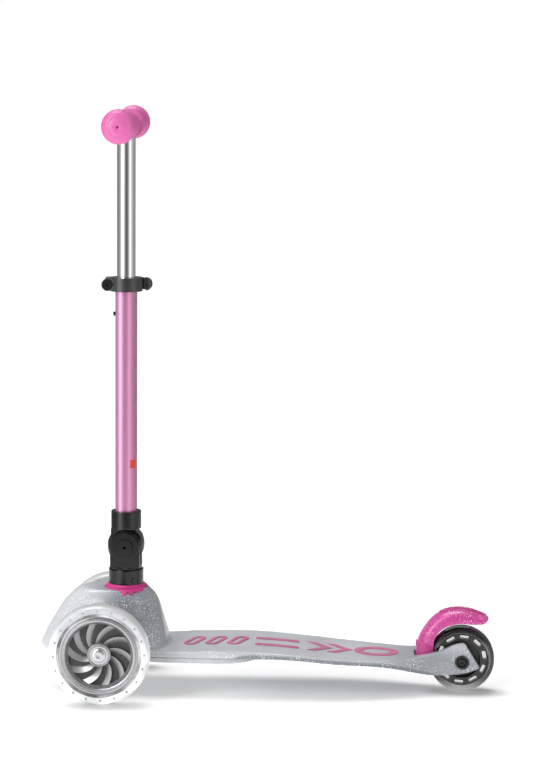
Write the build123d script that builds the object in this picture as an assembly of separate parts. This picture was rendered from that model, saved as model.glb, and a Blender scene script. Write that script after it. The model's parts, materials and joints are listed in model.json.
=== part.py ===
from build123d import *
import math
import os

# Three-wheel folding kick scooter for a small child, in millimetres.
# +X points to the rear wheel, +Y to the rider's left, +Z up; the floor is z = 0.

# Wheels
WHEELBASE = 430.0
FRONT_AXLE_X = -195.0
REAR_AXLE_X = FRONT_AXLE_X + WHEELBASE
FRONT_TYRE_R = 60.0
REAR_TYRE_R = 40.0
TRACK_HALF = 91.0
WHEEL_HALF_WIDTH = 12.0
FRONT_RIM_R = 41.5
LIGHT_CORE_R = 45.0
REAR_RIM_R = 31.5
BEARING_R = 11.0
BEARING_WIDTH = 7.0
AXLE_R = 4.0
RUNNING = 0.05
BLADES = 10
WINDOWS = 10
WINDOW_PHASE = -12.0

# Deck and hood
DECK_HALF_WIDTH = 57.0
DECK_EDGE_Z = 47.5
HOOD_TOP_Z = 122.7
HOOD_WALL = 3.0
HOOD_CENTRE_X = -185.0
OPENING_R = 25.3
COVER_LOW_Z = 40.8
COVER_WALL = 2.5
FORK_SLOT_HALF = 16.0
PAD_HEIGHT = 1.0
FORK_SLOT_X = 178.0

# Steering
COLUMN_X = -172.0
LEAN_Z = 96.4
TIE_LOW_Z = 52.0
TIE_HIGH_Z = 56.0
TIE_HALF_X = 10.0
KINGPIN_Y = 36.0
KINGPIN_R = 4.0
KNUCKLE_R = 8.0
ARM_LENGTH = 30.0
ARM_PIN_R = 3.0
FINGER_BALL_R = 5.0
FINGER_Z = (TIE_LOW_Z + TIE_HIGH_Z) / 2
BASE_TOP_Z = 51.5
BASE_PLATE_Z = DECK_EDGE_Z + 0.3
ROCKER_HALF = 11.0
SIDE_WALL_Y = 17.0

# Column and hinge
STEM_R = 15.0
STEM_LOW_Z = 110.0
COLLAR_R = 21.0
COLLAR_LOW_Z = 126.7
COLLAR_HIGH_Z = 144.9
HINGE_Z = 174.0
FORK_R = 19.3
NECK_TOP_Z = 151.4
EYE_R = 22.0
EYE_HALF = 11.8
EAR_HALF = 19.3
EAR_WAIST = 18.0
CAP_FACE_Y = -22.4
SOCKET_R = 18.0
SOCKET_TOP_Z = 215.5
BUTTON_R = 9.9

# Mast
OUTER_R = 13.0
OUTER_BORE_R = 11.5
OUTER_LOW_Z = 200.0
OUTER_TOP_Z = 494.0
INNER_R = 11.0
INNER_BORE_R = 9.5
INNER_LOW_Z = 362.0
BAR_Z = 679.0
BAR_HALF = 98.0
CLAMP_LOW_Z = 481.3
CLAMP_HIGH_Z = 497.8
CLAMP_MID_Z = (CLAMP_LOW_Z + CLAMP_HIGH_Z) / 2
CLAMP_R = 19.5
CLAMP_EAR_X = COLUMN_X - 21.0
EAR_R = 7.6
LEVER_Y = 14.5
SNAP_Z = 453.8
GRIP_INNER_Y = 32.0
GRIP_OUTER_Y = 108.0
GRIP_CAP_R = 20.2
GRIP_BODY_R = 15.5

# Mudguard brake
FENDER_HALF = 18.5
FENDER_FOOT_HALF = 15.2
FENDER_CLEAR_R = 47.3
CHEEK_INNER_Y = 13.2
SHOE_R = 44.0
SHOE_OUTER_R = 49.0
FENDER_PIN_X = 188.5
FENDER_PIN_Z = 41.0

OUT = "parts"
BASE = (Align.CENTER, Align.CENTER, Align.MIN)


def rod_z(radius, low, high, x=0.0, y=0.0):
    return Pos(x, y, low) * Cylinder(radius, high - low, align=BASE)


def rod_y(radius, low, high, x, z):
    return Pos(x, low, z) * Rot(-90, 0, 0) * Cylinder(radius, high - low, align=BASE)


def rod_x(radius, low, high, y, z):
    return Pos(low, y, z) * Rot(0, 90, 0) * Cylinder(radius, high - low, align=BASE)


def tube_z(outer, inner, low, high, x=0.0, y=0.0):
    return rod_z(outer, low, high, x, y) - rod_z(inner, low - 1, high + 1, x, y)


def tube_y(outer, inner, low, high, x, z):
    return rod_y(outer, low, high, x, z) - rod_y(inner, low - 1, high + 1, x, z)


def block(x0, x1, y0, y1, z0, z1):
    centre = Pos((x0 + x1) / 2, (y0 + y1) / 2, (z0 + z1) / 2)
    return centre * Box(x1 - x0, y1 - y0, z1 - z0)


def sides(make):
    """The same piece on the right (-1) and on the left (+1)."""
    return {"right": make(-1), "left": make(1)}


def span(side, near, far):
    """A pair of Y values, low then high, for distances from the mid plane."""
    return (near, far) if side > 0 else (-far, -near)


def xz_solid(edges, half_width):
    """Extrude a closed outline, drawn as x and z, both ways from the mid plane."""
    face = Plane.XZ * make_face(edges)
    return extrude(face, amount=half_width, both=True)


def save(name, shape):
    solids = shape.solids()
    export_step(solids[0] if len(solids) == 1 else Compound(children=list(solids)), f"{OUT}/{name}.step")


# Deck, hood and fork

def deck_top():
    """The deck's top line, from inside the hood to the root of the fork."""
    return Spline((-200, 53.5), (-123, 54), (-86, 55.5), (-46, 56.5), (-12, 56.2), (27, 53.5), (85, 48.2),
                  (143, 45.4), (176, 46.2), (202, 51.4))


def deck_side():
    """Side view of the deck plate and the rear fork."""
    top = deck_top()
    cheek = Spline((202, 51.4), (219, 57.9), (229, 62), (235.5, 63))
    tail = Spline((235.5, 63), (240, 60), (246, 50), (256.5, 33), tangents=[(1, 0), (0.5, -0.85)])
    under = Spline((256.5, 33), (246, 28.5), (232, 25), (216, 23.6), (199, 24), (176, 28.6), (143, 36.4),
                   (85, 42), (40, 46), (10, DECK_EDGE_Z))
    front = Polyline((10, DECK_EDGE_Z), (-200, DECK_EDGE_Z), (-200, 53.5))
    return xz_solid(top + cheek + tail + under + front, 70)


def deck_plan():
    """The deck seen from above, from inside the hood to the fork's tips."""
    points = [(-160, 50), (-118, 55), (-80, 56.8), (-20, DECK_HALF_WIDTH), (50, DECK_HALF_WIDTH), (98, 54),
              (143, 44.5), (178, 33), (202, 26), (222, 24)]
    left = Spline(*points)
    right = Spline(*[(x, -y) for x, y in reversed(points)])
    tips = Polyline(points[-1], (262, points[-1][1]), (262, -points[-1][1]), (points[-1][0], -points[-1][1]))
    front = Polyline((points[0][0], -points[0][1]), (-200, -40), (-200, 40), points[0])
    return make_face(left + tips + right + front)


def hood_level(z, front_x, rear_x, half_width, rear_power, inset=0.0):
    """One level of the hood: an oval with a squarer rear half."""
    steps = 36
    points = []
    for step in range(steps):
        angle = 2 * math.pi * step / steps
        along = math.cos(angle)
        across = math.sin(angle)
        reach = (rear_x if along > 0 else front_x) - HOOD_CENTRE_X
        power = rear_power if along > 0 else 2.1
        x = abs(reach) * math.copysign(abs(along) ** (2 / power), along)
        y = half_width * math.copysign(abs(across) ** (2 / power), across)
        shrink = 1 - inset / half_width
        points.append((HOOD_CENTRE_X + x * shrink, y * shrink))
    return Pos(0, 0, z) * make_face(Spline(*points, periodic=True))


HOOD_LEVELS = [
    (DECK_EDGE_Z, -272.5, -117.5, 52.5, 3.0),
    (51.0, -275.0, -118.0, 53.0, 3.0),
    (57.0, -273.6, -118.8, 53.5, 3.0),
    (64.4, -270.2, -120.2, 53.0, 2.9),
    (71.4, -267.0, -122.2, 52.2, 2.8),
    (82.4, -260.5, -125.4, 50.0, 2.6),
    (93.8, -253.6, -128.5, 46.6, 2.4),
    (104.6, -246.4, -132.0, 42.0, 2.3),
    (115.5, -236.0, -138.5, 35.5, 2.2),
    (HOOD_TOP_Z, -222.0, -144.5, 29.0, 2.1),
]


def hood_solid():
    return loft([hood_level(*level) for level in HOOD_LEVELS])


def hood_hollow():
    levels = [hood_level(z, f, r, w, p, HOOD_WALL) for z, f, r, w, p in HOOD_LEVELS[:-1]]
    top_z = HOOD_TOP_Z - HOOD_WALL
    levels[0] = Pos(0, 0, -2) * levels[0]
    levels.append(hood_level(top_z, -226.0, -141.0, 31.0, 2.1, HOOD_WALL))
    return loft(levels)


def deck():
    plate = deck_side() & extrude(deck_plan(), amount=120)
    outer = hood_solid()
    hollow = hood_hollow()
    bosses = [rod_z(5, BASE_TOP_Z, 112, x, y) for x, y in SCREW_PLACES]
    body = plate + outer - hollow
    for boss in bosses:
        body += boss & outer
    body -= rod_z(OPENING_R, HOOD_TOP_Z - 8, HOOD_TOP_Z + 8, COLUMN_X)
    for side in (-1, 1):
        low, high = span(side, 40, 70)
        body -= rod_y(13, low, high, FRONT_AXLE_X, 61)
        body -= block(FRONT_AXLE_X - 13, FRONT_AXLE_X + 13, low, high, 40, 61)
    body -= block(FORK_SLOT_X, 300, -FORK_SLOT_HALF, FORK_SLOT_HALF, 0, 120)
    body -= rod_y(AXLE_R, -40, 40, REAR_AXLE_X, REAR_TYRE_R)
    body -= rod_y(8.0, -30, -21, REAR_AXLE_X, REAR_TYRE_R)
    body -= rod_y(8.0, 21, 30, REAR_AXLE_X, REAR_TYRE_R)
    body -= rod_y(3.0, -23, 40, FENDER_PIN_X, FENDER_PIN_Z)
    for x, y in SCREW_PLACES:
        body -= rod_z(2.0, 40, 70, x, y)
    return body


SCREW_PLACES = [(-228, -18), (-228, 18), (-137, -28), (-137, 28)]


def cover_outline(inset):
    """Outline of the bottom cover from above, drawn in by an inset."""
    half = [(-264, 0), (-257, 22), (-232, 41), (-190, 49.5), (-118, 53.5), (-70, 54.5), (-34, 50), (-13, 30), (-7, 0)]
    middle_x = (half[0][0] + half[-1][0]) / 2
    along = 1 - inset / (half[-1][0] - middle_x)
    across = 1 - inset / 55
    left = [(middle_x + (x - middle_x) * along, y * across) for x, y in half]
    right = [(x, -y) for x, y in reversed(left)]
    upright = [(0, 1), (0, -1)]
    return make_face(Spline(*left, tangents=upright) + Spline(*right, tangents=[(0, -1), (0, 1)]))


def bottom_cover():
    """Shallow tray that closes the hood and the front of the deck from below."""
    top_z = DECK_EDGE_Z - 0.3
    tray = Pos(0, 0, COVER_LOW_Z) * extrude(cover_outline(0), amount=top_z - COVER_LOW_Z)
    tray -= Pos(0, 0, COVER_LOW_Z + COVER_WALL) * extrude(cover_outline(3.0), amount=10)
    for x, y in SCREW_PLACES:
        tray += rod_z(4.5, COVER_LOW_Z, top_z, x, y)
        tray -= rod_z(2.0, 30, 60, x, y)
        tray -= rod_z(3.6, 30, COVER_LOW_Z + 2, x, y)
    return tray


def cover_screws():
    return [rod_z(3.4, COVER_LOW_Z + 0.2, COVER_LOW_Z + 2, x, y) + rod_z(1.9, COVER_LOW_Z + 2, 66, x, y)
            for x, y in SCREW_PLACES]


def boot():
    return tube_z(OPENING_R - 0.1, 19.6, HOOD_TOP_Z - 6, HOOD_TOP_Z, COLUMN_X)


def pad_shapes():
    """Plan outlines of the raised non-slip inserts: slots, chevrons and a ring."""
    shapes = []
    for x in (-88, -62, -36):
        outer = Pos(x, 0) * SlotOverall(42, 17, rotation=68)
        inner = Pos(x, 0) * SlotOverall(30, 6, rotation=68)
        shapes.append(outer - inner)
    for y in (-15, 15):
        shapes.append(Pos(12, y) * SlotOverall(54, 9))
    for x in (60, 84):
        arms = Polyline((x - 12, -20), (x + 8, 0), (x - 12, 20), (x - 1, 20), (x + 19, 0), (x - 1, -20), close=True)
        shapes.append(make_face(arms))
    shapes.append(Pos(132, 0) * (Ellipse(27, 21) - Ellipse(17, 11)))
    return shapes


def grip_pads():
    """Inserts that lie on the deck and follow its curve, one millimetre proud."""
    low = deck_top()
    high = Pos(0, PAD_HEIGHT) * low
    ends = Line(low @ 0, high @ 0) + Line(low @ 1, high @ 1)
    skin = xz_solid(low + high + ends, 40)
    return [skin & extrude(shape, amount=80) for shape in pad_shapes()]


# Steering under the hood

def steering_base():
    body = block(-236, -134, -21, 21, BASE_PLATE_Z, BASE_TOP_Z)
    body += block(-212, -134, -38, 38, BASE_PLATE_Z, BASE_TOP_Z)
    for side in (-1, 1):
        low, high = span(side, SIDE_WALL_Y, SIDE_WALL_Y + 4)
        body += block(-205, COLUMN_X + 19.5, low, high, BASE_TOP_Z, 90)
        body -= block(COLUMN_X - TIE_HALF_X - 1.5, COLUMN_X + TIE_HALF_X + 4, low - 1, high + 1, BASE_TOP_Z, 58)
        near, far = span(side, SIDE_WALL_Y, KINGPIN_Y)
        body += block(-203, -187, near, far, 69.2, 73.2)
        body += rod_z(KNUCKLE_R, 69.2, 73.2, FRONT_AXLE_X, side * KINGPIN_Y)
        body += rod_z(KNUCKLE_R, BASE_PLATE_Z, BASE_TOP_Z, FRONT_AXLE_X, side * KINGPIN_Y)
        body -= rod_z(KINGPIN_R, 40, 80, FRONT_AXLE_X, side * KINGPIN_Y)
    for x in (COLUMN_X - 19.5, COLUMN_X + 19):
        upright = block(x - 3, x + 3, -10, 10, BASE_TOP_Z, LEAN_Z) + rod_x(10, x - 3, x + 3, 0, LEAN_Z)
        body += upright - rod_x(AXLE_R, x - 5, x + 5, 0, LEAN_Z)
    for x, y in SCREW_PLACES:
        body -= rod_z(2.0, 40, 60, x, y)
    return body


def kingpins():
    pins = []
    for side in (-1, 1):
        y = side * KINGPIN_Y
        pins.append(rod_z(KINGPIN_R, BASE_PLATE_Z, 73.2, FRONT_AXLE_X, y) + rod_z(6.5, 73.2, 77, FRONT_AXLE_X, y))
    return pins


def lean_shaft():
    front = COLUMN_X - 22.5
    rear = COLUMN_X + 22
    shaft = rod_x(AXLE_R, front, rear, 0, LEAN_Z)
    return shaft + rod_x(6.5, front - 4, front, 0, LEAN_Z) + rod_x(6.0, rear, rear + 4, 0, LEAN_Z)


def lean_spring(side):
    low, high = span(side, ROCKER_HALF, SIDE_WALL_Y)
    return tube_y(5.0, 3.2, low, high, COLUMN_X, 84)


def rocker():
    body = block(COLUMN_X - 16.2, COLUMN_X + 15.7, -ROCKER_HALF, ROCKER_HALF, 74, 106)
    body += rod_z(STEM_R, 104, STEM_LOW_Z, COLUMN_X) + rod_z(12.95, STEM_LOW_Z, 122, COLUMN_X)
    body += rod_z(3.6, FINGER_Z, 76, COLUMN_X) + Pos(COLUMN_X, 0, FINGER_Z) * Sphere(FINGER_BALL_R)
    body -= block(COLUMN_X - 6, COLUMN_X + 6, -6, 6, 40, TIE_LOW_Z + 0.3)
    return body - rod_x(AXLE_R + RUNNING, COLUMN_X - 30, COLUMN_X + 30, 0, LEAN_Z)


def tie_bar():
    bar = block(COLUMN_X - TIE_HALF_X, COLUMN_X + TIE_HALF_X + 2.5, -42, 42, TIE_LOW_Z, TIE_HIGH_Z)
    window_x = FINGER_BALL_R + 0.7
    window_y = FINGER_BALL_R + 0.35
    bar -= block(COLUMN_X - window_x, COLUMN_X + window_x, -window_y, window_y, 50, 60)
    pin_x = FRONT_AXLE_X + ARM_LENGTH
    for side in (-1, 1):
        slot_x = ARM_PIN_R + 1.3
        slot_y = ARM_PIN_R + 0.35
        y = side * KINGPIN_Y
        bar -= block(pin_x - slot_x, pin_x + slot_x, y - slot_y, y + slot_y, 50, 60)
    return bar


def knuckle(side):
    y = side * KINGPIN_Y
    pin_x = FRONT_AXLE_X + ARM_LENGTH
    body = rod_z(KNUCKLE_R, BASE_TOP_Z + 0.3, 69, FRONT_AXLE_X, y)
    body += block(FRONT_AXLE_X, pin_x, y - 4, y + 4, 57, 62.5) + rod_z(4.5, 57, 62.5, pin_x, y)
    body += rod_z(ARM_PIN_R, TIE_LOW_Z + 0.2, 58, pin_x, y)
    low, high = span(side, KINGPIN_Y + 2, TRACK_HALF - 14)
    body += rod_y(8.5, low, high, FRONT_AXLE_X, FRONT_TYRE_R)
    low, high = span(side, TRACK_HALF - 14, TRACK_HALF - 8.5)
    body += rod_y(6.0, low, high, FRONT_AXLE_X, FRONT_TYRE_R)
    low, high = span(side, 48, TRACK_HALF + 2)
    body -= rod_y(AXLE_R, low, high, FRONT_AXLE_X, FRONT_TYRE_R)
    return body - rod_z(KINGPIN_R + RUNNING, 40, 80, FRONT_AXLE_X, y)


def axle_bolt(side):
    low, high = span(side, 48, TRACK_HALF + 9)
    bolt = rod_y(AXLE_R, low, high, FRONT_AXLE_X, FRONT_TYRE_R)
    low, high = span(side, TRACK_HALF + 8.4, TRACK_HALF + 10.4)
    bolt += rod_y(8.8, low, high, FRONT_AXLE_X, FRONT_TYRE_R)
    low, high = span(side, TRACK_HALF + 10.4, TRACK_HALF + 11.8)
    return bolt + rod_y(6.8, low, high, FRONT_AXLE_X, FRONT_TYRE_R)


# Front wheels

def wheel_profile(outer, inner, half_width, crown):
    """Half section of a tyre, as radius and width, crowned at its tread."""
    shoulder = outer - crown
    tread = ThreePointArc((shoulder, half_width), (outer, 0), (shoulder, -half_width))
    body = Polyline((shoulder, -half_width), (inner, -half_width), (inner, half_width), (shoulder, half_width))
    return make_face(tread + body)


def wheel_solid(face, x, y, z):
    """Turn a radius and width section about the Y axis through a wheel's centre."""
    turned = revolve(face, Axis.Y)
    return Pos(x, y, z) * turned


def front_tyre(side):
    y = side * TRACK_HALF
    face = wheel_profile(FRONT_TYRE_R, FRONT_RIM_R, WHEEL_HALF_WIDTH, 7.0)
    tyre = wheel_solid(face, FRONT_AXLE_X, y, FRONT_TYRE_R)
    return tyre - tube_y(LIGHT_CORE_R, FRONT_RIM_R - 1, y - 6, y + 6, FRONT_AXLE_X, FRONT_TYRE_R)


def light_core(side):
    y = side * TRACK_HALF
    return tube_y(LIGHT_CORE_R, FRONT_RIM_R, y - 6, y + 6, FRONT_AXLE_X, FRONT_TYRE_R)


def polar(radius, degrees):
    angle = math.radians(degrees)
    return radius * math.cos(angle), radius * math.sin(angle)


def blade_edges(side):
    """Outline of one swept turbine blade, from the boss to the rim."""
    lead = ThreePointArc(polar(12.8, 0), polar(25, side * 8), polar(37.6, side * 32))
    trail = ThreePointArc(polar(37.6, side * 37), polar(25, side * 15), polar(12.8, side * 13))
    return lead + Line(lead @ 1, trail @ 0) + trail + Line(trail @ 1, lead @ 0)


def front_hub(side):
    y = side * TRACK_HALF
    rim = tube_y(FRONT_RIM_R, 37.0, y - 11, y + 11, 0, 0)
    boss = rod_y(13.5, y - 8.6, y + 8.6, 0, 0)
    body = rim + boss
    blade = Pos(0, y, 0) * xz_solid(blade_edges(side), 6.5)
    for turn in range(BLADES):
        body += Rot(0, 360 / BLADES * turn, 0) * blade
    body -= rod_y(BEARING_R, y - 9, y - 8.6 + BEARING_WIDTH, 0, 0)
    body -= rod_y(BEARING_R, y + 8.6 - BEARING_WIDTH, y + 9, 0, 0)
    body -= rod_y(9.0, y - 9, y + 9, 0, 0)
    return Pos(FRONT_AXLE_X, 0, FRONT_TYRE_R) * body


def front_bearings(side):
    y = side * TRACK_HALF
    inner = AXLE_R + RUNNING
    return [tube_y(BEARING_R, inner, y - 8.6 + 0.4, y - 8.6 + BEARING_WIDTH, FRONT_AXLE_X, FRONT_TYRE_R),
            tube_y(BEARING_R, inner, y + 8.6 - BEARING_WIDTH, y + 8.2, FRONT_AXLE_X, FRONT_TYRE_R)]


def magnet_spacer(side):
    y = side * TRACK_HALF
    return tube_y(7.5, AXLE_R + RUNNING, y - 1.6, y + 1.6, FRONT_AXLE_X, FRONT_TYRE_R)


# Rear wheel

def rear_tyre():
    face = wheel_profile(REAR_TYRE_R, REAR_RIM_R, WHEEL_HALF_WIDTH, 5.5)
    return wheel_solid(face, REAR_AXLE_X, 0, REAR_TYRE_R)


def rear_hub():
    body = tube_y(REAR_RIM_R, 22.0, -10, 10, 0, 0)
    body += rod_y(22.5, -3, 3, 0, 0) + rod_y(13.5, -12, 12, 0, 0)
    for window in range(WINDOWS):
        slot = Pos(27.6, 0, 0) * Box(4.4, 30, 10.5)
        body -= Rot(0, WINDOW_PHASE - 360 / WINDOWS * window, 0) * slot
    body -= rod_y(BEARING_R, -13, -12 + BEARING_WIDTH, 0, 0)
    body -= rod_y(BEARING_R, 12 - BEARING_WIDTH, 13, 0, 0)
    body -= rod_y(9.0, -13, 13, 0, 0)
    return Pos(REAR_AXLE_X, 0, REAR_TYRE_R) * body


def rear_bearings():
    inner = AXLE_R + RUNNING
    return [tube_y(BEARING_R, inner, -12, -12 + BEARING_WIDTH, REAR_AXLE_X, REAR_TYRE_R),
            tube_y(BEARING_R, inner, 12 - BEARING_WIDTH, 12, REAR_AXLE_X, REAR_TYRE_R)]


def rear_spacer():
    return tube_y(6.5, AXLE_R + RUNNING, -5, 5, REAR_AXLE_X, REAR_TYRE_R)


def rear_washers():
    """Washers between the fork's legs and the wheel's bearings."""
    return [tube_y(6.5, AXLE_R, low, low + 3.9, REAR_AXLE_X, REAR_TYRE_R) for low in (-16, 12.1)]


def rear_axle_bolt():
    bolt = rod_y(AXLE_R, -22, 24, REAR_AXLE_X, REAR_TYRE_R) + rod_y(6.6, -24.6, -21, REAR_AXLE_X, REAR_TYRE_R)
    socket = extrude(Pos(0, 0, 0) * RegularPolygon(2.6, 6), amount=3)
    return bolt - Pos(REAR_AXLE_X, -22, REAR_TYRE_R) * Rot(90, 0, 0) * socket


def rear_axle_nut():
    return tube_y(6.6, AXLE_R, 21, 24.6, REAR_AXLE_X, REAR_TYRE_R)


# Mudguard brake

def fender_blank():
    """The mudguard's outer shape, concentric with the tyre below."""
    centre = (REAR_AXLE_X, REAR_TYRE_R)
    foot_angle = math.radians(186)
    crown_angle = math.radians(82)
    foot = (centre[0] + FENDER_CLEAR_R * math.cos(foot_angle), centre[1] + FENDER_CLEAR_R * math.sin(foot_angle))
    heel = (centre[0] + FENDER_CLEAR_R * math.cos(crown_angle), centre[1] + FENDER_CLEAR_R * math.sin(crown_angle))
    middle = (centre[0] - FENDER_CLEAR_R * math.cos(math.pi / 4),
              centre[1] + FENDER_CLEAR_R * math.sin(math.pi / 4))
    under = ThreePointArc(foot, middle, heel)
    lip = Spline(heel, (255, 85.6), (262.5, 87), (266.2, 89.8))
    over = Spline((266.2, 89.8), (262.4, 91.8), (254, 95.4), (243, 98.6), (231, 99.8), (219, 98.4), (207.5, 93.8),
                  (198.2, 86.2), (189.3, 75), (182.8, 62), (180.8, 51))
    toe = Polyline((180.8, 51), (181.4, 36), foot)
    return xz_solid(under + lip + over + toe, FENDER_HALF)


def fender_cheeks():
    """Side view of the cheeks that reach down past the sides of the tyre."""
    inner = Spline((200.8, 38), (200.8, 50), (200.4, 60), (202, 67), (206.6, 74), (216.5, 82))
    outer = Polyline((216.5, 82), (214, 86), (200, 78), (190, 62), (186, 38), (200.8, 38))
    return xz_solid(inner + outer, FENDER_HALF)


def fender():
    body = fender_blank() + rod_y(5.2, -FENDER_FOOT_HALF, FENDER_FOOT_HALF, FENDER_PIN_X, FENDER_PIN_Z)
    cheeks = fender_cheeks()
    body += cheeks - block(150, 300, -CHEEK_INNER_Y, CHEEK_INNER_Y, 0, 120)
    for side in (-1, 1):
        low, high = span(side, FENDER_FOOT_HALF, 30)
        body -= block(150, 204, low, high, 0, 60)
    body -= rod_y(3.0 + RUNNING, -30, 30, FENDER_PIN_X, FENDER_PIN_Z)
    body -= rod_y(6.2, -5.5, 5.5, FENDER_PIN_X, FENDER_PIN_Z)
    body -= block(160, FENDER_PIN_X, -5.5, 5.5, 20, FENDER_PIN_Z + 6.2)
    return body - brake_shoe()


def brake_shoe():
    """Curved steel shoe over the top of the rear tyre."""
    ring = tube_y(SHOE_OUTER_R, SHOE_R, -9, 9, REAR_AXLE_X, REAR_TYRE_R)
    return ring & block(212, 246, -9, 9, 70, 95)


def fender_pin():
    return rod_y(3.0, -22.5, 22.5, FENDER_PIN_X, FENDER_PIN_Z)


def fender_spring():
    return tube_y(5.4, 3.2, -4.8, 4.8, FENDER_PIN_X, FENDER_PIN_Z)


def fender_bumper():
    """Rubber stop on the back of the mudguard's foot."""
    return block(179.6, 185, -5.5, 5.5, 55, 60.6) - fender_blank()


def fender_tread():
    """Thin rubber strip on the back of the mudguard's crown."""
    blank = fender_blank()
    raised = Pos(0.4, 0, 0.9) * blank
    return (raised & block(251, 260, -8, 8, 88, 105)) - blank


# Column

def stem_tube():
    return tube_z(STEM_R, 13.0, STEM_LOW_Z, COLLAR_HIGH_Z, COLUMN_X) - button_hole(3.0)


def stem_collar():
    return tube_z(COLLAR_R, STEM_R, COLLAR_LOW_Z, COLLAR_HIGH_Z, COLUMN_X) - button_hole(3.0 + RUNNING)


COLLAR_BUTTON_TURN = -57.0
COLLAR_BUTTON_Z = 132.6


def radial_rod(radius, near, far):
    rod = rod_x(radius, near, far, 0, 0)
    return Pos(COLUMN_X, 0, COLLAR_BUTTON_Z) * Rot(0, 0, COLLAR_BUTTON_TURN) * rod


def button_hole(radius):
    return radial_rod(radius, STEM_R + 0.01, 30)


def collar_button():
    return radial_rod(3.0, 16.4, COLLAR_R + 0.5)


def hinge_fork():
    body = rod_z(12.95, 130, COLLAR_HIGH_Z, COLUMN_X)
    body += rod_z(FORK_R, COLLAR_HIGH_Z, NECK_TOP_Z, COLUMN_X)
    for side in (-1, 1):
        low, high = span(side, EYE_HALF + 0.3, EAR_HALF)
        ear = rod_y(FORK_R, low, high, COLUMN_X, HINGE_Z)
        ear += block(COLUMN_X - EAR_WAIST, COLUMN_X + EAR_WAIST, low, high, 148, HINGE_Z)
        body += ear & rod_z(26, 148, 200, COLUMN_X)
    body -= rod_y(6.0, 0, 30, COLUMN_X, HINGE_Z)
    return body - rod_y(BUTTON_R + RUNNING, -30, 0, COLUMN_X, HINGE_Z)


def hinge_cap():
    return tube_y(17.6, BUTTON_R + RUNNING, CAP_FACE_Y, -EAR_HALF, COLUMN_X, HINGE_Z)


def hinge_pin():
    return rod_y(6.0, -3.6, EAR_HALF, COLUMN_X, HINGE_Z) + rod_y(11.0, EAR_HALF, EAR_HALF + 2.4, COLUMN_X, HINGE_Z)


def fold_button():
    body = rod_y(BUTTON_R, CAP_FACE_Y - 1.4, -8.2, COLUMN_X, HINGE_Z)
    return body - rod_y(1.8, -25, -16, COLUMN_X, HINGE_Z)


def fold_spring():
    return tube_y(8.4, 6.6, -8.1, -4.2, COLUMN_X, HINGE_Z)


def hinge_socket():
    tube = rod_z(SOCKET_R, HINGE_Z, SOCKET_TOP_Z, COLUMN_X)
    notch = rod_y(FORK_R + 0.5, -30, 30, COLUMN_X, HINGE_Z)
    notch += block(COLUMN_X, COLUMN_X + 30, -30, 30, HINGE_Z - 5, HINGE_Z + 19.8)
    tube -= notch
    eye = rod_y(EYE_R, -EYE_HALF, EYE_HALF, COLUMN_X, HINGE_Z)
    eye += block(COLUMN_X - 17.6, COLUMN_X + 14, -EYE_HALF, EYE_HALF, HINGE_Z, HINGE_Z + 21)
    body = tube + (eye & rod_z(EYE_R + 0.2, 150, OUTER_LOW_Z, COLUMN_X))
    body -= rod_z(OUTER_R, OUTER_LOW_Z, SOCKET_TOP_Z + 1, COLUMN_X)
    body -= rod_y(6.0 + RUNNING, -20, 20, COLUMN_X, HINGE_Z)
    return body - rod_y(BUTTON_R + 0.2, -20, -4.0, COLUMN_X, HINGE_Z)


# Mast

def outer_tube():
    tube = tube_z(OUTER_R, OUTER_BORE_R, OUTER_LOW_Z, OUTER_TOP_Z, COLUMN_X)
    return tube - rod_x(2.5 + RUNNING, COLUMN_X - 20, COLUMN_X, 0, SNAP_Z)


def tube_bush():
    return tube_z(OUTER_BORE_R, INNER_R + RUNNING, SNAP_Z + 8, OUTER_TOP_Z, COLUMN_X)


def snap_button():
    return rod_x(2.5, COLUMN_X - 15.4, COLUMN_X - 12.9, 0, SNAP_Z)


def clamp_ring():
    body = rod_z(CLAMP_R, CLAMP_LOW_Z, CLAMP_HIGH_Z, COLUMN_X)
    body += block(CLAMP_EAR_X, COLUMN_X - 8, -8.5, 8.5, CLAMP_MID_Z - EAR_R, CLAMP_MID_Z + EAR_R)
    body += rod_y(EAR_R, -13.4, 8.5, CLAMP_EAR_X, CLAMP_MID_Z)
    body -= block(CLAMP_EAR_X - 8, COLUMN_X, -1.4, 1.4, CLAMP_LOW_Z - 1, CLAMP_HIGH_Z + 1)
    body -= rod_z(OUTER_R, CLAMP_LOW_Z - 1, OUTER_TOP_Z, COLUMN_X)
    body -= rod_z(INNER_R + 0.4, OUTER_TOP_Z - 1, CLAMP_HIGH_Z + 1, COLUMN_X)
    body -= rod_y(6.3, -20, -8.5, CLAMP_EAR_X, CLAMP_MID_Z)
    return body - rod_y(2.5, -20, 20, CLAMP_EAR_X, CLAMP_MID_Z)


def clamp_bolt():
    bolt = rod_y(2.5, -12, LEVER_Y - 4, CLAMP_EAR_X, CLAMP_MID_Z)
    bolt += rod_y(6.0, -13.2, -8.5, CLAMP_EAR_X, CLAMP_MID_Z)
    socket = extrude(RegularPolygon(2.4, 6), amount=3)
    return bolt - Pos(CLAMP_EAR_X, -10.6, CLAMP_MID_Z) * Rot(90, 0, 0) * socket


def clamp_barrel():
    return rod_z(2.4, CLAMP_LOW_Z + 1, CLAMP_HIGH_Z - 1, CLAMP_EAR_X, LEVER_Y) + rod_z(
        4.0, CLAMP_MID_Z - 2.8, CLAMP_MID_Z + 2.8, CLAMP_EAR_X, LEVER_Y)


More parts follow.
